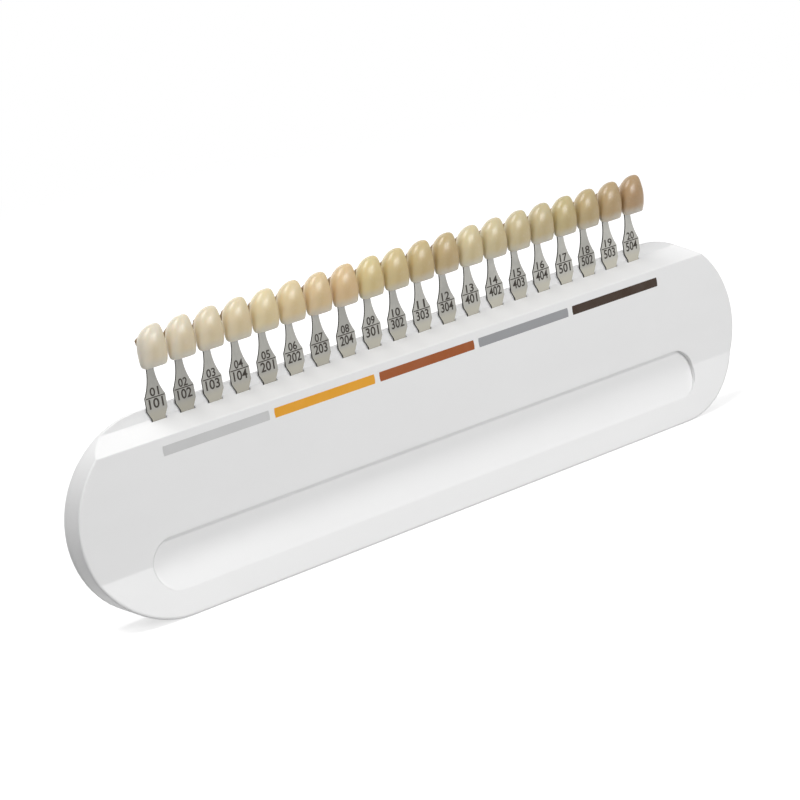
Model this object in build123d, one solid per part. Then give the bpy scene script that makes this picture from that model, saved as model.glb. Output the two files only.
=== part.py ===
from build123d import *
import math
import os

# Dental shade guide: a long white holder that stands on its lower edge, with twenty shade tabs in a row.
# Each tab is a steel strip with a tooth-shaped crown at its upper end, and pulls up out of its own slot.
# Millimetres, +Z up. X runs along the row, and the front faces -Y.
# The origin is on the table, in the middle of the footprint.
# A depth is measured forward from the flat back of the holder.

# Row of tabs
tab_count = 20
tab_pitch = 9.0

# Holder seen from the front: a straight bar with half-round ends
end_margin = 32.5
holder_height = 54.6

# Holder seen from the end
plate_thickness = 1.9
top_depth = 7.4
fold_depth = 8.1
lip_depth = 11.8
fold_height = 15.4
back_wall_rise = 3.1
shelf_drop = 3.9
shelf_hollow = 0.3
shell_wall = 2.0
front_edge_round = 0.5
fold_round = 1.0
shelf_edge_round = 0.4
back_edge_round = 0.5

# Finger trough along the lower crease
trough_end_margin = 19.5
trough_bottom = 7.2
trough_height = 14.2
trough_step = 1.4
trough_lead = 1.2

# Steel strip
strip_thickness = 0.45
strip_gap = 0.1
tongue_width = 4.1
tongue_length = 14.2
tongue_tip_round = 1.2
shoulder_height = 2.2
label_width = 6.3
label_height = 3.6
waist_rise = 7.7
neck_width = 2.2
neck_length = 4.6
head_width = 3.6
head_height = 4.0
head_round = 1.4

# Crown on the strip
crown_gap = 0.75
crown_height = 11.7
crown_foot_gap = 0.6
crown_top_depth = 7.3
section_points = 8
section_fullness = 0.85

# Slices of the crown: share of its height, share of its half width, labial depth and lingual depth
crown_stations = [
    (0.0, 0.76, 6.0, 5.0),
    (0.07, 0.94, 6.4, 3.8),
    (0.25, 1.0, 7.2, 2.9),
    (0.5, 0.98, 7.9, 2.3),
    (0.75, 0.8, 8.0, 2.5),
    (0.92, 0.56, 8.3, 4.1),
    (0.985, 0.36, 8.15, 5.8),
]

# Slots, and the guides for the tongues inside the holder
slot_side_gap = 0.4
guide_side_gap = 0.15
guide_rib = 1.0
rail_spacing = 2.4
rail_width = 0.8
stop_rib = 1.2

# Pegs on the back plate and their bosses in the shell
peg_count = 5
peg_pitch = 36.0
peg_height = 29.0
end_peg_spread = 208.0
peg_radius = 1.5
peg_length = 2.6
peg_tip_chamfer = 0.3
peg_clearance = 0.05
peg_end_gap = 0.3
boss_wall = 1.5

# Values worked out from the sizes above
row_length = (tab_count - 1) * tab_pitch
holder_length = row_length + 2 * end_margin
back_y = lip_depth / 2
shelf_foot_z = holder_height - back_wall_rise
shelf_edge_z = shelf_foot_z - shelf_drop
seat_z = shelf_foot_z - tongue_length
strip_back_depth = plate_thickness + strip_gap
strip_front_depth = strip_back_depth + strip_thickness
slot_front_depth = strip_front_depth + strip_gap
label_low_z = shelf_foot_z + shoulder_height
label_high_z = label_low_z + label_height
neck_z = label_high_z + waist_rise
head_z = neck_z + neck_length
crown_z = neck_z + crown_foot_gap
crown_width = tab_pitch - crown_gap


def y_at(depth):
    """Turn a depth, measured forward from the back, into a Y."""
    return back_y - depth


def end_point(depth, height):
    """A point of the end view."""
    return (y_at(depth), height)


def depth_of_face(height):
    """Depth of the front face, or of the lip below the crease, at a height."""
    if height > fold_height:
        share = (height - fold_height) / (shelf_edge_z - fold_height)
        return fold_depth + share * (top_depth - fold_depth)
    return lip_depth + height / fold_height * (fold_depth - lip_depth)


def bar_along_x(face):
    """Push a face of the end view out past both ends of the holder."""
    return extrude(Plane.YZ * face, amount=holder_length, both=True)


def outline_prism(width, height, middle_z):
    """A straight bar with half-round ends, seen from the front and deeper than the holder."""
    face = Pos(0, middle_z) * SlotOverall(width, height)
    return extrude(Plane.XZ * face, amount=lip_depth, both=True)


def box_between(low, high):
    """A box between two corners, each given as X, depth and Z."""
    size = [high[axis] - low[axis] for axis in range(3)]
    middle = [(high[axis] + low[axis]) / 2 for axis in range(3)]
    return Pos(middle[0], y_at(middle[1]), middle[2]) * Box(*size)


def rod_forward(x, z, radius, low_depth, length):
    """A round rod that runs forward from a depth."""
    rod = Rot(90, 0, 0) * Cylinder(radius, length)
    return Pos(x, y_at(low_depth + length / 2), z) * rod


def shell_section():
    """End view of the front shell: lip, crease, front face and hollow shelf."""
    shelf_edge = Vector(*end_point(top_depth, shelf_edge_z))
    shelf_foot = Vector(*end_point(plate_thickness, shelf_foot_z))
    slope = (shelf_foot - shelf_edge).normalized()
    middle = (shelf_edge + shelf_foot) / 2 + Vector(slope.Y, -slope.X) * shelf_hollow
    foot = end_point(plate_thickness, 0)
    lip = end_point(lip_depth, 0)
    fold = end_point(fold_depth, fold_height)
    walls = Polyline(shelf_foot, foot, lip, fold, shelf_edge)
    shelf = ThreePointArc(shelf_edge, middle, shelf_foot)
    face = make_face([walls, shelf])
    face = fillet(corner_at(face, fold), fold_round)
    return fillet(corner_at(face, (shelf_edge.X, shelf_edge.Y)), shelf_edge_round)


def corner_at(face, point):
    """The corner of a flat face that lies at a point."""
    return face.vertices().sort_by_distance(Vector(*point))[0]


def cavity_section():
    """End view of the hollow, one wall in from the shell and open at the back."""
    open_back = plate_thickness - shell_wall
    slope = math.atan2(shelf_drop, top_depth - plate_thickness)
    foot_rise = shell_wall * math.tan(slope)
    face = make_face(
        Polyline(
            end_point(open_back, 0),
            end_point(lip_depth, 0),
            end_point(fold_depth, fold_height),
            end_point(top_depth, shelf_edge_z),
            end_point(open_back, shelf_foot_z + foot_rise),
            close=True,
        )
    )
    return offset(face, amount=-shell_wall, kind=Kind.INTERSECTION)


def trough(skin):
    """What is scooped out for the fingers, or with a skin the space that its wall must stay out of."""
    top = trough_bottom + trough_height
    floor_top = top - trough_lead
    brim = end_point(depth_of_face(top) - skin, top + skin)
    floor_start = end_point(depth_of_face(top) - trough_step - skin, floor_top + skin)
    lower = end_point(depth_of_face(trough_bottom) - skin, trough_bottom - skin)
    front_low = end_point(2 * lip_depth, trough_bottom - skin)
    front_high = end_point(2 * lip_depth, top + skin)
    floor = TangentArc(floor_start, lower, tangent=(0, -1))
    rest = Polyline(lower, front_low, front_high, brim, floor_start)
    scoop = bar_along_x(make_face([floor, rest]))
    width = holder_length - 2 * trough_end_margin + 2 * skin
    return scoop & outline_prism(width, trough_height + 2 * skin, trough_bottom + trough_height / 2)


def tab_places():
    """X of every tab, from the left end of the row."""
    return [number * tab_pitch - row_length / 2 for number in range(tab_count)]


def peg_places():
    """X and Z of every peg: a row under the slots, and one near each end."""
    row = [(number - (peg_count - 1) / 2) * peg_pitch for number in range(peg_count)]
    ends = [-end_peg_spread / 2, end_peg_spread / 2]
    return [(x, peg_height) for x in row + ends]


def tongue_guide(x):
    """Two ribs beside a tongue and two rails in front of it."""
    reach = top_depth
    rib_x = tongue_width / 2 + guide_side_gap
    pieces = []
    for side in (-1, 1):
        rib = sorted([x + side * rib_x, x + side * (rib_x + guide_rib)])
        pieces.append(box_between((rib[0], plate_thickness, seat_z), (rib[1], reach, shelf_foot_z)))
        rail = x + side * rail_spacing / 2
        low = (rail - rail_width / 2, slot_front_depth, seat_z)
        high = (rail + rail_width / 2, reach, shelf_foot_z)
        pieces.append(box_between(low, high))
    return pieces


def slot_at(x):
    """The opening in the shelf that a tongue goes down through."""
    half = tongue_width / 2 + slot_side_gap
    low = (x - half, plate_thickness, shelf_edge_z - shell_wall)
    return box_between(low, (x + half, slot_front_depth, holder_height))


def front_rim(solid):
    """Edges where the side wall meets the front, all the way round."""
    back_edges = solid.edges().group_by(Axis.Y)[-1]
    bent = solid.edges().filter_by(GeomType.LINE, reverse=True)
    lip = solid.edges().filter_by(Axis.X).sort_by(Axis.Y)[0]
    return [edge for edge in bent if edge not in back_edges] + [lip]


def shell_hollow():
    """The space inside the shell, without the ribs, rails and bosses that stand in it."""
    space = bar_along_x(cavity_section())
    width = holder_length - 2 * shell_wall
    space &= outline_prism(width, holder_height - 2 * shell_wall, holder_height / 2)
    space -= trough(shell_wall)
    stop_end = row_length / 2 + tab_pitch / 2
    stop = box_between((-stop_end, plate_thickness, seat_z - stop_rib), (stop_end, top_depth, seat_z))
    guides = [piece for x in tab_places() for piece in tongue_guide(x)]
    boss_radius = peg_radius + peg_clearance + boss_wall
    bosses = [rod_forward(x, z, boss_radius, plate_thickness, top_depth) for x, z in peg_places()]
    return space - [stop] - guides - bosses


def front_shell():
    """The white moulding with the front face, shelf, slots and trough, and the tongue guides inside it."""
    outer = bar_along_x(shell_section())
    outer &= outline_prism(holder_length, holder_height, holder_height / 2)
    outer = fillet(front_rim(outer), front_edge_round)
    slots = [slot_at(x) for x in tab_places()]
    hole_radius = peg_radius + peg_clearance
    hole_length = peg_length + peg_end_gap
    holes = [rod_forward(x, z, hole_radius, plate_thickness, hole_length) for x, z in peg_places()]
    return outer - shell_hollow() - trough(0) - slots - holes


def back_plate():
    """The flat back, which rises behind the row of strips and closes the slots."""
    face = Pos(0, holder_height / 2) * SlotOverall(holder_length, holder_height)
    plate = extrude(Plane.XZ.offset(-back_y) * face, amount=plate_thickness)
    plate = fillet(plate.edges().group_by(Axis.Y)[-1], back_edge_round)
    for x, z in peg_places():
        peg = rod_forward(x, z, peg_radius, plate_thickness, peg_length)
        plate += chamfer(peg.edges().group_by(Axis.Y)[0], peg_tip_chamfer)
    return plate


def strip_face():
    """Front view of a strip, from its tongue up past shoulders, label, waist and neck to its head."""
    tongue_x = tongue_width / 2
    label_x = label_width / 2
    neck_x = neck_width / 2
    label_low = (label_x, label_low_z)
    label_high = (label_x, label_high_z)
    half = [
        Polyline((0, seat_z), (tongue_x, seat_z), (tongue_x, shelf_foot_z), label_low, label_high),
        TangentArc((neck_x, neck_z), label_high, tangent=(0, -1)),
        Polyline((neck_x, neck_z), (neck_x, head_z), (0, head_z), (0, seat_z)),
    ]
    face = make_face(half)
    face += mirror(face, Plane.YZ)
    tip = face.vertices().group_by(Axis.Y)[0]
    face = fillet([corner for corner in tip if abs(corner.X) > neck_x], tongue_tip_round)
    head = Pos(0, head_z + head_height / 2) * RectangleRounded(head_width, head_height, head_round)
    return face + head


def tab_strip():
    """The steel strip of a tab, at the middle of the row."""
    face = Plane.XZ.offset(-y_at(strip_back_depth)) * strip_face()
    return extrude(face, amount=strip_thickness)


def crown_section(rise, half_width, labial, lingual):
    """A level slice of the crown, full in front and rounder behind."""
    middle = (labial + lingual) / 2
    points = []
    for step in range(section_points):
        turn = 2 * math.pi * step / section_points
        across = math.copysign(abs(math.cos(turn)) ** section_fullness, math.cos(turn))
        forward = math.copysign(abs(math.sin(turn)) ** section_fullness, math.sin(turn))
        depth = middle + forward * (labial - lingual) / 2
        points.append((half_width * across, y_at(depth)))
    slice_face = make_face(Spline(points, periodic=True))
    return Pos(0, 0, crown_z + rise) * slice_face


def crown():
    """A front tooth's crown, edge down, with a flat behind it that is bonded to the strip's head."""
    half = crown_width / 2
    sections = []
    for share, width_share, labial, lingual in crown_stations:
        sections.append(crown_section(share * crown_height, width_share * half, labial, lingual))
    top = Vertex(0, y_at(crown_top_depth), crown_z + crown_height)
    body = loft(sections + [top])
    behind = box_between((-half, 0, crown_z), (half, strip_front_depth, crown_z + crown_height))
    return body - behind


def write(node, solid):
    """Write one sub-part as a STEP file named after its node."""
    solid.label = node
    export_step(solid, f"parts/{node}.step")


os.makedirs("parts", exist_ok=True)
write("front_shell", front_shell())
write("back_plate", back_plate())
strip = tab_strip()
tooth = crown()
for number, x in enumerate(tab_places(), start=1):
    write(f"tab_strip_{number:02d}", Pos(x, 0, 0) * strip)
    write(f"crown_{number:02d}", Pos(x, 0, 0) * tooth)
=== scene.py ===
import math

import bmesh
import bpy
from mathutils import Matrix, Vector, noise
from mathutils.bvhtree import BVHTree


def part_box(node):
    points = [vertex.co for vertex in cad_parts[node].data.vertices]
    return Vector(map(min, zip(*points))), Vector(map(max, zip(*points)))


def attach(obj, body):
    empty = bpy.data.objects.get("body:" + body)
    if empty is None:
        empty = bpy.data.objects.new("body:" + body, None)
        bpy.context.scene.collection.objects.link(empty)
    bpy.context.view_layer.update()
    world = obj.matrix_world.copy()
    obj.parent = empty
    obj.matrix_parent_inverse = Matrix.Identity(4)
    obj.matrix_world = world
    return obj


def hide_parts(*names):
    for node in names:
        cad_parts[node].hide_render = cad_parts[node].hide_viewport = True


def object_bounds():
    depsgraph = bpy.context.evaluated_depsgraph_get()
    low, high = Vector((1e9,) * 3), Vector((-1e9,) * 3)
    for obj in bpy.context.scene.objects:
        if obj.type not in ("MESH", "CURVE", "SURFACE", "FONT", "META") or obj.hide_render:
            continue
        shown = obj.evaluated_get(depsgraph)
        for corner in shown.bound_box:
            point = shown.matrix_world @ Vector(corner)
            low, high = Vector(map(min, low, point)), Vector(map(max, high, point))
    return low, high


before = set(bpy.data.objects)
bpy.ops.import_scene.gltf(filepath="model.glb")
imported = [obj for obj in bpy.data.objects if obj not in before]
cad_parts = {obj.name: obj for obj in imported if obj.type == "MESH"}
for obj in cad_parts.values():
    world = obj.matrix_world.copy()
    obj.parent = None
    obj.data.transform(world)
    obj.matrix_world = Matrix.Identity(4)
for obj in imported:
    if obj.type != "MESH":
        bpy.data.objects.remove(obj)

bl_info = {
    "name": "Tooth Shade Guide Looks",
    "version": (1, 0, 0),
    "blender": (4, 5, 0),
    "location": "3D View > Sidebar > Shade Guide",
    "description": "Finishes, labels, colour bands and studio for a tooth shade guide",
    "category": "Object",
}

CAD_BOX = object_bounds()
TAB_COUNT = 20
TABS_PER_GROUP = 4
GROUP_COUNT = TAB_COUNT // TABS_PER_GROUP
MM = 0.001

# The camera of the studio view, in the row frame in metres.
CAMERA_PLACE = Vector((-0.4168, -0.5568, 0.2152))
CAMERA_RIGHT = Vector((0.7745, -0.6143, -0.1512))
CAMERA_UP = Vector((0.2733, 0.1095, 0.9557))
CAMERA_LENS = 115.4
SENSOR_WIDTH = 36.0

# Planes of the CAD model across its depth, and a place well in front of it.
BACK_Y = 5.9 * MM
STRIP_FRONT_Y = 3.45 * MM
IN_FRONT_Y = -0.1

# Marks and inks
INK_THICKNESS = 0.02 * MM
BURN_LINE_PITCH = 0.12 * MM
SCREEN_MESH_PITCH = 0.18 * MM
LETTER_SWELL = 0.018
PLACE_NUMBER_WIDTH = 2.85 * MM
GROUP_NUMBER_WIDTH = 4.5 * MM
RULE_GAP = 0.30 * MM
RULE_LENGTH = 5.8 * MM
RULE_THICKNESS = 0.28 * MM

# Height of each moulding's grain, and how far its trough's edges are softened.
SHELL_GRAIN = 0.010 * MM
SHELL_ROUND = 0.8 * MM
PLATE_GRAIN = 0.020 * MM
PLATE_ROUND = 0.4 * MM

# Heights between which the moulding's edges turn soft, and the steel turns to its warmer foot.
ROUND_ENDS_Z = 27.0 * MM
ROUND_FULL_Z = 24.0 * MM
FOOT_ENDS_Z = 54.6 * MM
FOOT_FULL_Z = 52.4 * MM

# The crown's rings, its two shallow valleys, and the plane that its back keeps in front of.
POINTS_AROUND = 56
RING_COUNT = 48
SECTION_FULLNESS = 0.85
VALLEY_PLACE = 0.36
VALLEY_WIDTH = 0.22
VALLEY_DEPTH_MM = 0.07
BACK_DEPTH_MM = 2.45
SWAY_MM = 0.12
HEIGHT_SHARE = 0.955

# The dab of resin
DAB_Y = 3.75 * MM
DAB_Z = 72.2 * MM
DAB_HALF_DEPTH = 0.75 * MM
DAB_LUMP_HEIGHT = 0.16

# Lamps: place and size in metres.
FRONT_LAMP = ((0.30, -1.06, 0.38), 0.5)
TOP_LAMP = ((-0.38, -0.06, 1.10), 0.6)
BACK_LAMP = ((0.10, 1.00, 0.50), 0.9)

# The floor, and how far from the origin its seen shadow ends, in metres.
FLOOR_HALF_SIZE = 6.0
SHADOW_FADES_FROM = 0.3
SHADOW_GONE_AT = 0.7


def plain_colour(red, green, blue):
    """A colour given in plain 0 to 255 screen steps, as linear light."""
    linear = []
    for step in (red, green, blue):
        share = step / 255.0
        linear.append(share / 12.92 if share <= 0.04045 else ((share + 0.055) / 1.055) ** 2.4)
    return tuple(linear)


def between(first, last, share):
    """A colour that share of the way from the first to the last."""
    return tuple(a + (b - a) * share for a, b in zip(first, last))


def opaque(colour):
    """A colour with full alpha, for a colour socket."""
    return (colour[0], colour[1], colour[2], 1.0)


class Value:
    """Wraps a socket that carries a number, so that shader maths reads as an expression."""

    def __init__(self, finish, socket):
        self.finish = finish
        self.socket = socket

    def combine(self, operation, *operands):
        sockets = dict(enumerate(operands))
        made = self.finish.node("ShaderNodeMath", {"operation": operation}, sockets)
        return Value(self.finish, made.outputs[0])

    def __add__(self, other):
        return self.combine("ADD", self, other)

    def __radd__(self, other):
        return self.combine("ADD", other, self)

    def __sub__(self, other):
        return self.combine("SUBTRACT", self, other)

    def __rsub__(self, other):
        return self.combine("SUBTRACT", other, self)

    def __mul__(self, other):
        return self.combine("MULTIPLY", self, other)

    def __rmul__(self, other):
        return self.combine("MULTIPLY", other, self)

    def __truediv__(self, other):
        return self.combine("DIVIDE", self, other)

    def __rtruediv__(self, other):
        return self.combine("DIVIDE", other, self)

    def __abs__(self):
        return self.combine("ABSOLUTE", self)

    def sine(self):
        return self.combine("SINE", self)

    def or_more(self, other):
        return self.combine("MAXIMUM", self, other)

    def over(self, low, high):
        """Rises smoothly from 0 at low to 1 at high, or falls where low is the larger."""
        made = self.finish.node(
            "ShaderNodeMapRange",
            {"interpolation_type": "SMOOTHSTEP"},
            {"Value": self, "From Min": low, "From Max": high},
        )
        return Value(self.finish, made.outputs[0])


class Finish:
    """One procedural material, and short ways to add nodes to it."""

    def __init__(self, name):
        self.material = bpy.data.materials.new(name)
        self.material.use_nodes = True
        self.tree = self.material.node_tree
        self.tree.nodes.clear()

    def node(self, kind, settings=None, sockets=None):
        """Adds one node: its settings first, then the values or links of its sockets."""
        made = self.tree.nodes.new(kind)
        for name, value in (settings or {}).items():
            setattr(made, name, value)
        for name, value in (sockets or {}).items():
            if isinstance(value, Value):
                value = value.socket
            if isinstance(value, bpy.types.NodeSocket):
                self.tree.links.new(value, made.inputs[name])
            else:
                made.inputs[name].default_value = value
        return made

    def place(self):
        """The point on the object in the row frame, as a vector socket."""
        return self.node("ShaderNodeTexCoord").outputs["Object"]

    def facing(self):
        """The surface's own direction in the row frame, as three values."""
        return self.split(self.node("ShaderNodeTexCoord").outputs["Normal"])

    def split(self, vector):
        made = self.node("ShaderNodeSeparateXYZ", None, {"Vector": vector})
        return [Value(self, made.outputs[axis]) for axis in ("X", "Y", "Z")]

    def stretched(self, vector, scales, shift=(0.0, 0.0, 0.0)):
        """A vector scaled along each axis and then shifted."""
        made = self.node(
            "ShaderNodeVectorMath",
            {"operation": "MULTIPLY_ADD"},
            {0: vector, 1: scales, 2: shift},
        )
        return made.outputs[0]

    def grain(self, vector, scale, detail=2.0, roughness=0.5):
        """Noise of about 0 to 1 whose blobs are 1 / scale metres wide."""
        made = self.node(
            "ShaderNodeTexNoise",
            None,
            {"Vector": vector, "Scale": scale, "Detail": detail, "Roughness": roughness},
        )
        return Value(self, made.outputs[0])

    def mix(self, share, first, second):
        """The first colour at share 0 and the second at 1."""
        made = self.node(
            "ShaderNodeMix",
            {"data_type": "RGBA", "clamp_factor": True},
            {0: share, 6: first, 7: second},
        )
        return made.outputs[2]

    def bump(self, height, distance, strength=1.0, under=None):
        """A normal from a height field, whose 0 to 1 is that distance in metres."""
        sockets = {"Height": height, "Distance": distance, "Strength": strength}
        if under is not None:
            sockets["Normal"] = under
        return self.node("ShaderNodeBump", None, sockets).outputs[0]

    def surface(self, **sockets):
        """Ends the material in a Principled shader with these sockets, and returns the material."""
        named = {}
        for key, value in sockets.items():
            named[key.replace("_", " ").title().replace("Ior", "IOR")] = value
        shader = self.node("ShaderNodeBsdfPrincipled", None, named)
        self.node("ShaderNodeOutputMaterial", None, {"Surface": shader.outputs[0]})
        return self.material


def cad_piece(name):
    """The CAD node of that name, which has to be there."""
    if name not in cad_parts:
        raise RuntimeError(f"the frame has no node {name}")
    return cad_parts[name]


def give_finish(piece, material):
    """Puts one material on the whole piece."""
    if not piece.material_slots:
        piece.data.materials.append(material)
    for slot in piece.material_slots:
        slot.material = material


def link_piece(name, mesh):
    """A new object in the scene for a mesh that is already in the row frame."""
    piece = bpy.data.objects.new(name, mesh)
    bpy.context.scene.collection.objects.link(piece)
    return piece


def tab_numbers():
    return range(1, TAB_COUNT + 1)


def tab_axis(number):
    """The x of a tab's middle, from its own strip."""
    low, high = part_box(f"tab_strip_{number:02d}")
    return (low.x + high.x) / 2


# Finishes


def moulded_plastic(name, colour, roughness, grain_height, edge_round):
    """Injection moulded plastic: fine grain, faint flow waves, and soft edges low down."""
    finish = Finish(name)
    place = finish.place()
    z = finish.split(place)[2]
    trough_round = z.over(ROUND_ENDS_Z, ROUND_FULL_Z) * edge_round
    flow = finish.grain(finish.stretched(place, (1.0, 1.0, 2.6)), 22.0, 3.0)
    speck = finish.grain(place, 2600.0, 1.0)
    touch = finish.grain(place, 60.0, 4.0, 0.6)
    fine = finish.grain(place, 5200.0, 2.0, 0.6)
    soft_edges = finish.node("ShaderNodeBevel", {"samples": 6}, {"Radius": trough_round}).outputs[0]
    pale = opaque(between(colour, (1.0, 1.0, 1.0), 0.10))
    dull = opaque(tuple(step * 0.965 for step in colour))
    base = finish.mix(flow, dull, pale)
    base = finish.mix(speck.over(0.62, 0.80) * 0.5, base, dull)
    waves = finish.bump(flow, 0.10 * MM, 0.25, soft_edges)
    normal = finish.bump(fine, grain_height, 0.6, waves)
    return finish.surface(
        base_color=base,
        roughness=roughness + (touch - 0.5) * 0.16,
        normal=normal,
        ior=1.5,
        specular_ior_level=0.35,
    )


def rolled_steel(name, colour, sheared_and_shaded, seed):
    """Thin rolled stainless steel: lengthwise rolling lines, and stamped edges painted dark, partly
    their own rougher finish and partly painted dark reflection.
    """
    finish = Finish(name)
    place = finish.place()
    drawn_out = finish.stretched(place, (9.0, 9.0, 0.35), (seed, 0.0, 0.0))
    lines = finish.grain(drawn_out, 1100.0, 3.0, 0.6)
    cloud = finish.grain(finish.stretched(place, (1.0, 1.0, 1.0), (0.0, seed, 0.0)), 190.0, 3.0)
    z = finish.split(place)[2]
    edge = abs(finish.facing()[1]).over(0.75, 0.35)
    bright = opaque(tuple(step * 1.10 for step in colour))
    dim = opaque(tuple(step * 0.90 for step in colour))
    deep = opaque(tuple(step * 0.66 for step in colour))
    foot = opaque((colour[0] * 1.06, colour[1] * 1.03, colour[2] * 0.95))
    slow = finish.grain(finish.stretched(place, (0.4, 0.4, 1.0), (0.0, 0.0, seed)), 80.0, 1.0)
    base = finish.mix(lines.over(0.2, 0.8), dim, bright)
    base = finish.mix(cloud.over(0.46, 0.72) * 0.35 + slow.over(0.5, 0.7) * 0.45, base, deep)
    base = finish.mix(z.over(FOOT_ENDS_Z, FOOT_FULL_Z), base, foot)
    # The stamped edges that face sideways are painted near black: partly their rougher finish, partly
    # painted dark reflection.
    base = finish.mix(edge, base, opaque(sheared_and_shaded))
    return finish.surface(
        base_color=base,
        metallic=1.0,
        roughness=0.36 + (cloud - 0.5) * 0.20 + edge * 0.15,
        normal=finish.bump(lines, 0.012 * MM, 0.35),
    )


def enamel(name, axis_x, low, high, shade, neck, incisal, seed):
    """Layered tooth material: a paler neck painted as top light and glare, warm body, a left side
    painted paler and a right side painted darker, and a clear greyish biting edge.
    """
    finish = Finish(name)
    place = finish.place()
    x, _, z = finish.split(place)
    across = (x - axis_x) / ((high.x - low.x) / 2)
    up = (z - low.z) / (high.z - low.z)
    lobes = finish.grain(finish.stretched(place, (1.0, 1.0, 0.35), (seed, 0.0, 0.0)), 420.0, 2.0)
    mottle = finish.grain(finish.stretched(place, (1.0, 1.0, 1.0), (0.0, seed, 0.0)), 1300.0, 3.0)
    # Painted top light: towards its top the crown turns to the paler neck colour, which stands in for
    # the light and glare on the tops.
    base = finish.mix(up.over(0.52, 0.85), opaque(shade), opaque(neck))
    side = (abs(across) + (lobes - 0.5) * 0.2).over(0.55, 1.0)
    warm = opaque((shade[0] * 0.98, shade[1] * 0.95, shade[2] * 0.88))
    milky_and_lit_side = opaque((shade[0] * 1.20, shade[1] * 1.28, shade[2] * 1.50))
    deeper_and_shaded_side = opaque(tuple(step * 0.88 for step in shade))
    base = finish.mix(side * 0.25, base, warm)
    # Left side painted paler: partly the clearer enamel at the edge, partly painted light falling on
    # that side.
    base = finish.mix(across.over(-0.1, -1.0), base, milky_and_lit_side)
    # Right side painted darker: partly a deeper tone at that side, partly painted shade.
    base = finish.mix(across.over(0.1, 0.9) * 0.5, base, deeper_and_shaded_side)
    fade = (up + (lobes - 0.5) * 0.10).over(0.27, 0.0)
    base = finish.mix(fade * 0.85, base, opaque(incisal))
    pale = opaque(between(shade, (1.0, 1.0, 1.0), 0.30))
    base = finish.mix(mottle.over(0.5, 0.85) * 0.22, base, pale)
    ridges = (up * 150.0 + lobes * 5.0).sine() * 0.5 + 0.5
    lobe_height = abs(abs(across) - 0.34).over(0.0, 0.24)
    relief = finish.bump(lobe_height, 0.02 * MM, 0.4)
    fine = finish.bump(ridges * 0.3 + mottle * 0.7, 0.008 * MM, 0.4, relief)
    return finish.surface(
        base_color=base,
        roughness=0.40 + (mottle - 0.5) * 0.10,
        normal=fine,
        ior=1.55,
        subsurface_weight=0.35,
        subsurface_radius=(1.0, 0.7, 0.4),
        subsurface_scale=0.9 * MM,
        coat_weight=0.35,
        coat_roughness=0.24,
    )


def bond_resin(name, colour, seed):
    """Cured bonding resin: dark amber, glossy, with small bubbles."""
    finish = Finish(name)
    place = finish.stretched(finish.place(), (1.0, 1.0, 1.0), (seed, 0.0, 0.0))
    cloud = finish.grain(place, 900.0, 3.0)
    bubbles = finish.grain(place, 4200.0, 1.0)
    thick = opaque(tuple(step * 0.6 for step in colour))
    thin = opaque(between(colour, (1, 1, 1), 0.12))
    base = finish.mix(cloud, thick, thin)
    return finish.surface(
        base_color=base,
        roughness=0.26 + cloud * 0.14,
        normal=finish.bump(bubbles, 0.03 * MM, 0.5),
        ior=1.52,
    )


def marking_ink(name, colour):
    """A laser-darkened mark: near black, with a raster of fine burn lines."""
    finish = Finish(name)
    place = finish.place()
    z = finish.split(place)[2]
    burn = (z * (math.tau / BURN_LINE_PITCH)).sine() * 0.5 + 0.5
    cloud = finish.grain(place, 2400.0, 2.0)
    warm = opaque(between(colour, plain_colour(96, 82, 66), 0.40))
    base = finish.mix(burn * 0.35 + cloud.over(0.4, 0.8) * 0.4, opaque(colour), warm)
    return finish.surface(
        base_color=base,
        roughness=0.55 + cloud * 0.15,
        normal=finish.bump(burn, 0.006 * MM, 0.5),
        ior=1.45,
    )


def screen_ink(name, colour):
    """A screen-printed field of colour: a faint mesh pattern and pinholes."""
    finish = Finish(name)
    place = finish.place()
    x, _, z = finish.split(place)
    turns = math.tau / SCREEN_MESH_PITCH
    weave = (x * turns).sine() * (z * turns).sine() * 0.5 + 0.5
    cloud = finish.grain(place, 180.0, 4.0)
    pinholes = finish.grain(place, 3600.0, 1.0).over(0.74, 0.86)
    dense = opaque(tuple(step * 0.93 for step in colour))
    thin = opaque(between(colour, (1.0, 1.0, 1.0), 0.07))
    base = finish.mix(cloud * 0.7 + weave * 0.3, dense, thin)
    base = finish.mix(pinholes * 0.3, base, opaque(between(colour, (1.0, 1.0, 1.0), 0.5)))
    return finish.surface(
        base_color=base,
        roughness=0.42 + cloud * 0.10,
        normal=finish.bump(weave, 0.004 * MM, 0.6),
        ior=1.48,
        specular_ior_level=0.06,
    )


# Settings


def colour_setting(name, description, default):
    return bpy.props.FloatVectorProperty(
        name=name, description=description, default=default,
        subtype="COLOR", size=3, min=0.0, max=1.0,
    )


def length_setting(name, description, default):
    return bpy.props.FloatProperty(
        name=name, description=description, default=default,
        min=0.0, subtype="DISTANCE", unit="LENGTH",
    )


class HolderSettings(bpy.types.PropertyGroup):
    """The white moulded holder."""

    shell_colour: colour_setting(
        "Shell colour", "Colour of the moulded front shell", plain_colour(240, 240, 240)
    )
    plate_colour: colour_setting(
        "Back plate colour", "Colour of the pegged back plate", plain_colour(238, 238, 238)
    )
    matt: bpy.props.FloatProperty(
        name="Roughness",
        description="How matt the moulding is",
        default=0.38,
        min=0.0,
        max=1.0,
        subtype="FACTOR",
    )


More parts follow.
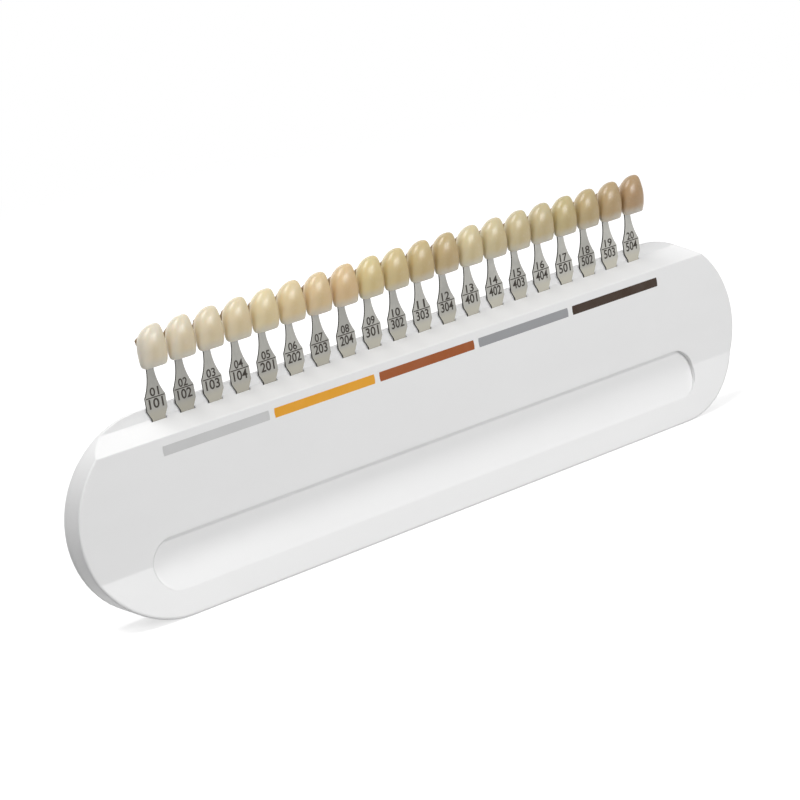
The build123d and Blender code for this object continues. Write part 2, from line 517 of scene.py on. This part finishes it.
class BandSettings(bpy.types.PropertyGroup):
    """The five printed fields of colour that mark the shade groups."""

    group_1: colour_setting("First band", "Ink of the palest group", plain_colour(210, 210, 210))
    group_2: colour_setting("Second band", "Ink of the second group", plain_colour(239, 168, 34))
    group_3: colour_setting("Third band", "Ink of the third group", plain_colour(163, 84, 28))
    group_4: colour_setting("Fourth band", "Ink of the fourth group", plain_colour(159, 160, 163))
    group_5: colour_setting("Fifth band", "Ink of the deepest group", plain_colour(58, 38, 20))
    length: length_setting("Length", "Length of each band along the row", 34.3 * MM)
    foot: length_setting(
        "Foot height", "Height of the bands' lower edge above the table", 42.55 * MM
    )
    top: length_setting("Top height", "Height of the bands' upper edge above the table", 45.2 * MM)


class StripSettings(bpy.types.PropertyGroup):
    """The steel strips that carry the crowns."""

    steel_colour: colour_setting("Steel", "Colour of the rolled face", plain_colour(150, 149, 144))
    # The stamped edges' colour is near black: partly their rougher finish, partly painted dark
    # reflection.
    sheared_and_shaded_colour: colour_setting(
        "Sheared edge", "Colour of the stamped edges", plain_colour(46, 42, 38)
    )


class LabelSettings(bpy.types.PropertyGroup):
    """The plain numbers marked on each strip."""

    ink_colour: colour_setting("Mark", "Colour of the marked numbers", plain_colour(30, 25, 20))
    place_height: length_setting("Place number height", "Height of the upper number", 2.35 * MM)
    group_height: length_setting("Group number height", "Height of the lower number", 2.7 * MM)
    rule_height: length_setting(
        "Rule height", "Height of the line between the numbers above the table", 57.15 * MM
    )


class CrownSettings(bpy.types.PropertyGroup):
    """The shades: each group runs from its lightest tab to its deepest."""

    lightest_1: colour_setting(
        "Group 1 lightest", "Body of the first group's first crown", plain_colour(214, 200, 171)
    )
    deepest_1: colour_setting(
        "Group 1 deepest", "Body of the first group's last crown", plain_colour(212, 193, 152)
    )
    lightest_2: colour_setting(
        "Group 2 lightest", "Body of the second group's first crown", plain_colour(215, 195, 148)
    )
    deepest_2: colour_setting(
        "Group 2 deepest", "Body of the second group's last crown", plain_colour(207, 176, 126)
    )
    lightest_3: colour_setting(
        "Group 3 lightest", "Body of the third group's first crown", plain_colour(205, 183, 126)
    )
    deepest_3: colour_setting(
        "Group 3 deepest", "Body of the third group's last crown", plain_colour(182, 157, 107)
    )
    lightest_4: colour_setting(
        "Group 4 lightest", "Body of the fourth group's first crown", plain_colour(200, 182, 136)
    )
    deepest_4: colour_setting(
        "Group 4 deepest", "Body of the fourth group's last crown", plain_colour(187, 168, 122)
    )
    lightest_5: colour_setting(
        "Group 5 lightest", "Body of the fifth group's first crown", plain_colour(183, 163, 111)
    )
    deepest_5: colour_setting(
        "Group 5 deepest", "Body of the fifth group's last crown", plain_colour(164, 131, 88)
    )
    incisal_colour: colour_setting(
        "Biting edge", "Clear enamel of the biting edge", plain_colour(198, 196, 188)
    )


class BondSettings(bpy.types.PropertyGroup):
    """The resin that holds each crown on its strip."""

    resin_colour: colour_setting(
        "Resin", "Colour of the cured bonding resin", plain_colour(158, 126, 76)
    )
    half_width: length_setting("Half width", "Half the dab's width across the strip", 3.05 * MM)
    half_height: length_setting("Half height", "Half the dab's height", 1.9 * MM)


class StageSettings(bpy.types.PropertyGroup):
    """The floor, the world and the lamps."""

    floor_colour: colour_setting(
        "Floor", "Floor as the object's light sees it", plain_colour(162, 162, 162)
    )
    sky_level: bpy.props.FloatProperty(
        name="Sky",
        description="Plain light from all round",
        default=0.27,
        min=0.0,
        subtype="FACTOR",
    )
    front_power: bpy.props.FloatProperty(
        name="Front lamp",
        description="Power of the soft lamp in front",
        default=6.7,
        min=0.0,
        unit="POWER",
    )
    top_power: bpy.props.FloatProperty(
        name="Top lamp",
        description="Power of the soft lamp overhead",
        default=7.9,
        min=0.0,
        unit="POWER",
    )
    back_power: bpy.props.FloatProperty(
        name="Back lamp",
        description="Power of the faint lamp behind",
        default=2.6,
        min=0.0,
        unit="POWER",
    )


# Pieces


class SHADEGUIDE_OT_finish_holder(bpy.types.Operator):
    """Give the front shell and the back plate their moulded plastic"""

    bl_idname = "shade_guide.finish_holder"
    bl_label = "Finish holder"

    def execute(self, context):
        settings = context.scene.shade_guide_holder
        shell = moulded_plastic(
            "plastic_front_shell", settings.shell_colour, settings.matt, SHELL_GRAIN, SHELL_ROUND
        )
        plate_matt = settings.matt + 0.1
        plate = moulded_plastic(
            "plastic_back_plate", settings.plate_colour, plate_matt, PLATE_GRAIN, PLATE_ROUND
        )
        give_finish(cad_piece("front_shell"), shell)
        give_finish(cad_piece("back_plate"), plate)
        return {"FINISHED"}


def printed_field(name, shell, left, right, foot, top):
    """A thin film of ink that lies on the shell's front, cut in a grid that follows the surface."""
    columns = 24
    rows = 3
    corner = 0.12 * MM
    mesh = bmesh.new()
    front = []
    for row in range(rows + 1):
        for column in range(columns + 1):
            x = left + (right - left) * column / columns
            z = foot + (top - foot) * row / rows
            if row in (0, rows) and column in (0, columns):
                x += corner if column == 0 else -corner
            hit = shell.ray_cast(Vector((x, IN_FRONT_Y, z)), Vector((0, 1, 0)))[0]
            if hit is None:
                raise RuntimeError(f"{name} misses the shell")
            front.append(mesh.verts.new(hit - Vector((0, INK_THICKNESS, 0))))
    width = columns + 1
    for row in range(rows):
        for column in range(columns):
            first = row * width + column
            above = first + width
            mesh.faces.new([front[first], front[first + 1], front[above + 1], front[above]])
    rim = bmesh.ops.extrude_face_region(mesh, geom=list(mesh.faces))
    behind = [item for item in rim["geom"] if isinstance(item, bmesh.types.BMVert)]
    bmesh.ops.translate(mesh, verts=behind, vec=Vector((0, INK_THICKNESS * 1.5, 0)))
    bmesh.ops.recalc_face_normals(mesh, faces=list(mesh.faces))
    data = bpy.data.meshes.new(name)
    mesh.to_mesh(data)
    mesh.free()
    return link_piece(name, data)


class SHADEGUIDE_OT_print_bands(bpy.types.Operator):
    """Print the five fields of colour below the tabs"""

    bl_idname = "shade_guide.print_bands"
    bl_label = "Print colour bands"

    def execute(self, context):
        settings = context.scene.shade_guide_bands
        shell = BVHTree.FromObject(cad_piece("front_shell"), context.evaluated_depsgraph_get())
        for group in range(1, GROUP_COUNT + 1):
            first = (group - 1) * TABS_PER_GROUP + 1
            middle = (tab_axis(first) + tab_axis(first + TABS_PER_GROUP - 1)) / 2
            band = printed_field(
                f"colour_band_{group}",
                shell,
                middle - settings.length / 2,
                middle + settings.length / 2,
                settings.foot,
                settings.top,
            )
            give_finish(band, screen_ink(f"ink_band_{group}", getattr(settings, f"group_{group}")))
            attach(band, "holder")
        return {"FINISHED"}


class SHADEGUIDE_OT_finish_strips(bpy.types.Operator):
    """Give every strip its rolled steel"""

    bl_idname = "shade_guide.finish_strips"
    bl_label = "Finish strips"

    def execute(self, context):
        settings = context.scene.shade_guide_strips
        for number in tab_numbers():
            # Painted light: each strip is painted lighter towards the right end of the row, where its
            # reflection brightens, with a small random tone per strip on top.
            row_light_and_batch_tone = 0.84 + 0.43 * (number - 1) / (TAB_COUNT - 1) + 0.04 * math.sin(number * 2.4)
            colour = tuple(step * row_light_and_batch_tone for step in settings.steel_colour)
            name = f"steel_{number:02d}"
            steel = rolled_steel(name, colour, settings.sheared_and_shaded_colour, number * 0.37)
            give_finish(cad_piece(f"tab_strip_{number:02d}"), steel)
        return {"FINISHED"}


def marked_text(words, centre_x, foot_z, height, width):
    """The mesh of a few characters that stand on the strip's front, sized by height and width."""
    curve = bpy.data.curves.new("mark", "FONT")
    curve.body = words
    curve.extrude = 0.5
    curve.offset = LETTER_SWELL
    curve.resolution_u = 4
    holder = bpy.data.objects.new("mark", curve)
    bpy.context.scene.collection.objects.link(holder)
    bpy.context.view_layer.update()
    mesh = bpy.data.meshes.new_from_object(holder)
    bpy.data.objects.remove(holder)
    bpy.data.curves.remove(curve)
    xs = [point.co.x for point in mesh.vertices]
    ys = [point.co.y for point in mesh.vertices]
    across = width / (max(xs) - min(xs))
    upward = height / (max(ys) - min(ys))
    middle = (max(xs) + min(xs)) / 2
    for point in mesh.vertices:
        x, y, z = point.co
        point.co = (
            centre_x + (x - middle) * across,
            STRIP_FRONT_Y - INK_THICKNESS * (z + 0.5),
            foot_z + (y - min(ys)) * upward,
        )
    return mesh


def joined(name, meshes):
    """One mesh made of several, whose parts are then removed."""
    whole = bmesh.new()
    for mesh in meshes:
        whole.from_mesh(mesh)
        bpy.data.meshes.remove(mesh)
    bmesh.ops.remove_doubles(whole, verts=list(whole.verts), dist=1e-7)
    bmesh.ops.recalc_face_normals(whole, faces=list(whole.faces))
    data = bpy.data.meshes.new(name)
    whole.to_mesh(data)
    whole.free()
    return data


def rule_line(centre_x, centre_z):
    """The thin line between the two numbers."""
    mesh = bmesh.new()
    bmesh.ops.create_cube(mesh, size=1.0)
    corners = list(mesh.verts)
    bmesh.ops.scale(mesh, verts=corners, vec=Vector((RULE_LENGTH, INK_THICKNESS, RULE_THICKNESS)))
    centre = Vector((centre_x, STRIP_FRONT_Y - INK_THICKNESS / 2, centre_z))
    bmesh.ops.translate(mesh, verts=corners, vec=centre)
    data = bpy.data.meshes.new("rule")
    mesh.to_mesh(data)
    mesh.free()
    return data


class SHADEGUIDE_OT_mark_labels(bpy.types.Operator):
    """Mark each strip with its place in the row, and its group and place in the group"""

    bl_idname = "shade_guide.mark_labels"
    bl_label = "Mark labels"

    def execute(self, context):
        settings = context.scene.shade_guide_labels
        ink = marking_ink("mark_ink", settings.ink_colour)
        for number in tab_numbers():
            axis = tab_axis(number)
            group = (number - 1) // TABS_PER_GROUP + 1
            place = (number - 1) % TABS_PER_GROUP + 1
            upper_foot = settings.rule_height + RULE_GAP
            lower_foot = settings.rule_height - RULE_GAP - settings.group_height
            upper = (axis, upper_foot, settings.place_height, PLACE_NUMBER_WIDTH)
            lower = (axis, lower_foot, settings.group_height, GROUP_NUMBER_WIDTH)
            parts = [
                marked_text(f"{number:02d}", *upper),
                marked_text(f"{group}0{place}", *lower),
                rule_line(axis, settings.rule_height),
            ]
            name = f"tab_label_{number:02d}"
            label = link_piece(name, joined(name, parts))
            give_finish(label, ink)
            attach(label, f"tab_{number:02d}")
        return {"FINISHED"}


# Rings of a crown from the biting edge up: share of the height, share of the half width,
# sideways lean, labial depth and lingual depth, the last three in millimetres.
CROWN_RINGS = (
    (0.0, 0.60, 0.10, 5.65, 5.25),
    (0.012, 0.78, 0.08, 5.95, 4.95),
    (0.07, 0.95, -0.04, 6.4, 3.8),
    (0.25, 1.0, -0.02, 7.3, 2.9),
    (0.5, 0.965, -0.04, 8.05, 2.3),
    (0.75, 0.83, 0.15, 7.8, 2.5),
    (0.92, 0.56, 0.80, 7.0, 3.5),
    (0.985, 0.30, 1.25, 6.2, 4.4),
    (1.0, 0.05, 1.40, 5.45, 5.15),
)


def curve_through(rows, place):
    """A row of values on a smooth curve through the rows, at a place counted in rows."""
    index = min(int(place), len(rows) - 2)
    share = place - index
    before = rows[max(index - 1, 0)]
    after = rows[min(index + 2, len(rows) - 1)]
    values = []
    for a, b, c, d in zip(before, rows[index], rows[index + 1], after):
        bend = 2 * a - 5 * b + 4 * c - d
        turn = 3 * (b - c) + d - a
        values.append(b + 0.5 * share * (c - a + share * (bend + share * turn)))
    return values


def crown_form(name, axis, low, high, seed):
    """A front tooth's crown: a flat biting edge, three soft lobes in front, and a rounded neck."""
    half = (high.x - low.x) / 2
    mesh = bmesh.new()
    loops = []
    for ring in range(RING_COUNT + 1):
        row = ring / RING_COUNT * (len(CROWN_RINGS) - 1)
        share, width, lean, labial, lingual = curve_through(CROWN_RINGS, row)
        middle = (labial + lingual) / 2
        body = math.sin(math.pi * min(max(share, 0.0), 1.0)) ** 0.6
        loop = []
        for step in range(POINTS_AROUND):
            turn = math.tau * step / POINTS_AROUND
            across = math.copysign(abs(math.cos(turn)) ** SECTION_FULLNESS, math.cos(turn))
            forward = math.copysign(abs(math.sin(turn)) ** SECTION_FULLNESS, math.sin(turn))
            from_valleys = ((across - side * VALLEY_PLACE) / VALLEY_WIDTH for side in (-1, 1))
            valley = sum(math.exp(-(distance ** 2)) for distance in from_valleys)
            depth = middle + forward * (labial - lingual) / 2
            depth -= VALLEY_DEPTH_MM * valley * body * max(forward, 0.0)
            depth = max(depth, BACK_DEPTH_MM)
            x = axis + (lean + SWAY_MM * math.sin(seed) * share) * MM + half * width * across
            z = low.z + (high.z - low.z) * share * HEIGHT_SHARE
            loop.append(mesh.verts.new((x, BACK_Y - depth * MM, z)))
        loops.append(loop)
    for below, above in zip(loops, loops[1:]):
        for step in range(POINTS_AROUND):
            after = (step + 1) % POINTS_AROUND
            mesh.faces.new([below[step], below[after], above[after], above[step]])
    mesh.faces.new(list(reversed(loops[0])))
    mesh.faces.new(loops[-1])
    bmesh.ops.recalc_face_normals(mesh, faces=list(mesh.faces))
    for face in mesh.faces:
        face.smooth = True
    data = bpy.data.meshes.new(name)
    mesh.to_mesh(data)
    mesh.free()
    return link_piece(name, data)


class SHADEGUIDE_OT_finish_crowns(bpy.types.Operator):
    """Form every crown on its place and give it its shade"""

    bl_idname = "shade_guide.finish_crowns"
    bl_label = "Finish crowns"

    def execute(self, context):
        settings = context.scene.shade_guide_crowns
        for number in tab_numbers():
            group = (number - 1) // TABS_PER_GROUP + 1
            share = ((number - 1) % TABS_PER_GROUP) / (TABS_PER_GROUP - 1)
            lightest = getattr(settings, f"lightest_{group}")
            deepest = getattr(settings, f"deepest_{group}")
            shade = between(lightest, deepest, share)
            # The neck colour is painted light: paler and bluer than the body, for the top light and
            # glare on each crown.
            neck = (shade[0] * 1.02, shade[1] * 1.09, shade[2] * 1.24)
            incisal = between(settings.incisal_colour, shade, 0.20)
            node = cad_piece(f"crown_{number:02d}").name
            low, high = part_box(node)
            axis = tab_axis(number)
            name = f"enamel_{number:02d}"
            material = enamel(name, axis, low, high, shade, neck, incisal, number * 0.53)
            piece = crown_form(f"crown_form_{number:02d}", axis, low, high, number * 1.7)
            give_finish(piece, material)
            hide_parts(node)
            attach(piece, f"tab_{number:02d}")
        return {"FINISHED"}


def resin_dab(name, centre, half_sizes, seed):
    """A small lumpy dab, round on all sides."""
    mesh = bmesh.new()
    bmesh.ops.create_icosphere(mesh, subdivisions=4, radius=1.0)
    for point in mesh.verts:
        lump = noise.noise(point.co * 1.6 + Vector((seed, 0, 0))) * DAB_LUMP_HEIGHT
        point.co = point.co * (1.0 + lump)
        point.co = centre + Vector([size * step for size, step in zip(half_sizes, point.co)])
    for face in mesh.faces:
        face.smooth = True
    data = bpy.data.meshes.new(name)
    mesh.to_mesh(data)
    mesh.free()
    return link_piece(name, data)


class SHADEGUIDE_OT_bond_crowns(bpy.types.Operator):
    """Put the dab of resin behind each crown, round the strip's head"""

    bl_idname = "shade_guide.bond_crowns"
    bl_label = "Bond crowns"

    def execute(self, context):
        settings = context.scene.shade_guide_bond
        for number in tab_numbers():
            name = f"bond_dab_{number:02d}"
            centre = Vector((tab_axis(number), DAB_Y, DAB_Z))
            half_sizes = (settings.half_width, DAB_HALF_DEPTH, settings.half_height)
            dab = resin_dab(name, centre, half_sizes, number * 3.1)
            resin = bond_resin(f"resin_{number:02d}", settings.resin_colour, number * 0.71)
            give_finish(dab, resin)
            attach(dab, f"tab_{number:02d}")
        return {"FINISHED"}


# Studio


def soft_lamp(name, place_and_size, target, power):
    """A square soft lamp that looks at the target."""
    place, size = place_and_size
    lamp = bpy.data.lights.new(name, "AREA")
    lamp.shape = "SQUARE"
    lamp.size = size
    lamp.energy = power
    holder = bpy.data.objects.new(name, lamp)
    bpy.context.scene.collection.objects.link(holder)
    holder.location = place
    holder.rotation_euler = (Vector(target) - Vector(place)).to_track_quat("-Z", "Y").to_euler()


def seen_share(finish):
    """1 for rays that show the background: from the camera, from gloss and through glass."""
    path = finish.node("ShaderNodeLightPath")
    camera, glossy, through = [
        Value(finish, path.outputs[name])
        for name in ("Is Camera Ray", "Is Glossy Ray", "Is Transmission Ray")
    ]
    return camera.or_more(glossy).or_more(through)


def floor_finish(colour):
    """A pale floor: white apart from the shadow where it is seen, and grey to the object's light."""
    finish = Finish("floor")
    white = (1.0, 1.0, 1.0, 1.0)
    place = finish.place()
    speck = finish.grain(place, 260.0, 3.0)
    grey = finish.mix(speck, opaque(tuple(step * 0.97 for step in colour)), opaque(colour))
    dim = finish.node("ShaderNodeBsdfDiffuse", None, {"Color": grey})
    plain = finish.node("ShaderNodeBsdfDiffuse", None, {"Color": (0.58, 0.58, 0.58, 1.0)})
    glow = finish.node("ShaderNodeEmission", None, {"Color": white, "Strength": 0.66})
    lit = finish.node("ShaderNodeAddShader", None, {0: plain.outputs[0], 1: glow.outputs[0]})
    length = finish.node("ShaderNodeVectorMath", {"operation": "LENGTH"}, {0: place})
    away = Value(finish, length.outputs["Value"]).over(SHADOW_FADES_FROM, SHADOW_GONE_AT)
    far = finish.node("ShaderNodeEmission", None, {"Color": white, "Strength": 1.0})
    seen = finish.node("ShaderNodeMixShader", None, {0: away, 1: lit.outputs[0], 2: far.outputs[0]})
    share = seen_share(finish)
    both = finish.node("ShaderNodeMixShader", None, {0: share, 1: dim.outputs[0], 2: seen.outputs[0]})
    finish.node("ShaderNodeOutputMaterial", None, {"Surface": both.outputs[0]})
    return finish.material


class WorldFinish(Finish):
    """The same node helpers on the world's tree."""

    def __init__(self, name):
        self.world = bpy.data.worlds.new(name)
        self.world.use_nodes = True
        self.tree = self.world.node_tree
        self.tree.nodes.clear()


class SHADEGUIDE_OT_set_stage(bpy.types.Operator):
    """Lay the floor, light the studio and set the camera"""

    bl_idname = "shade_guide.set_stage"
    bl_label = "Set stage"

    def execute(self, context):
        settings = context.scene.shade_guide_stage
        scene = context.scene
        mesh = bmesh.new()
        bmesh.ops.create_grid(mesh, x_segments=8, y_segments=8, size=FLOOR_HALF_SIZE)
        data = bpy.data.meshes.new("floor")
        mesh.to_mesh(data)
        mesh.free()
        floor = link_piece("floor", data)
        give_finish(floor, floor_finish(settings.floor_colour))

        world = WorldFinish("studio")
        white = (1.0, 1.0, 1.0, 1.0)
        sky = settings.sky_level
        dim = world.node("ShaderNodeBackground", None, {"Color": white, "Strength": sky})
        full = world.node("ShaderNodeBackground", None, {"Color": white, "Strength": 1.0})
        share = seen_share(world)
        both = world.node("ShaderNodeMixShader", None, {0: share, 1: dim.outputs[0], 2: full.outputs[0]})
        world.node("ShaderNodeOutputWorld", None, {"Surface": both.outputs[0]})
        scene.world = world.world

        middle = (CAD_BOX[0] + CAD_BOX[1]) / 2
        soft_lamp("front_lamp", FRONT_LAMP, middle, settings.front_power)
        soft_lamp("top_lamp", TOP_LAMP, middle, settings.top_power)
        soft_lamp("back_lamp", BACK_LAMP, middle, settings.back_power)

        lens = bpy.data.cameras.new("studio_camera")
        lens.sensor_width = SENSOR_WIDTH
        lens.lens = CAMERA_LENS
        lens.clip_start = 0.05
        lens.clip_end = 50.0
        camera = bpy.data.objects.new("studio_camera", lens)
        scene.collection.objects.link(camera)
        back = CAMERA_RIGHT.cross(CAMERA_UP)
        turn = Matrix((CAMERA_RIGHT, CAMERA_UP, back)).transposed().to_4x4()
        camera.matrix_world = Matrix.Translation(CAMERA_PLACE) @ turn
        scene.camera = camera
        scene.view_settings.view_transform = "Standard"
        return {"FINISHED"}


class VIEW3D_PT_shade_guide(bpy.types.Panel):
    """The shade guide's pieces and their settings"""

    bl_label = "Shade Guide"
    bl_idname = "VIEW3D_PT_shade_guide"
    bl_space_type = "VIEW_3D"
    bl_region_type = "UI"
    bl_category = "Shade Guide"

    def draw(self, context):
        for group, operators in PANEL_ROWS:
            box = self.layout.box()
            settings = getattr(context.scene, group)
            for name in settings.bl_rna.properties.keys():
                if name not in ("rna_type", "name"):
                    box.prop(settings, name)
            for operator in operators:
                box.operator(operator)


SETTINGS = {
    "shade_guide_holder": HolderSettings,
    "shade_guide_bands": BandSettings,
    "shade_guide_strips": StripSettings,
    "shade_guide_labels": LabelSettings,
    "shade_guide_crowns": CrownSettings,
    "shade_guide_bond": BondSettings,
    "shade_guide_stage": StageSettings,
}

OPERATORS = (
    SHADEGUIDE_OT_finish_holder,
    SHADEGUIDE_OT_print_bands,
    SHADEGUIDE_OT_finish_strips,
    SHADEGUIDE_OT_mark_labels,
    SHADEGUIDE_OT_finish_crowns,
    SHADEGUIDE_OT_bond_crowns,
    SHADEGUIDE_OT_set_stage,
)

PANEL_ROWS = [(group, [operator.bl_idname]) for group, operator in zip(SETTINGS, OPERATORS)]


def register():
    for group, kind in SETTINGS.items():
        bpy.utils.register_class(kind)
        setattr(bpy.types.Scene, group, bpy.props.PointerProperty(type=kind))
    for kind in (*OPERATORS, VIEW3D_PT_shade_guide):
        bpy.utils.register_class(kind)


def unregister():
    for kind in (VIEW3D_PT_shade_guide, *reversed(OPERATORS)):
        bpy.utils.unregister_class(kind)
    for group, kind in SETTINGS.items():
        delattr(bpy.types.Scene, group)
        bpy.utils.unregister_class(kind)


def main():
    register()
    bpy.ops.shade_guide.finish_holder()
    bpy.ops.shade_guide.print_bands()
    bpy.ops.shade_guide.finish_strips()
    bpy.ops.shade_guide.mark_labels()
    bpy.ops.shade_guide.finish_crowns()
    bpy.ops.shade_guide.bond_crowns()
    bpy.ops.shade_guide.set_stage()


if __name__ == "__main__":
    main()
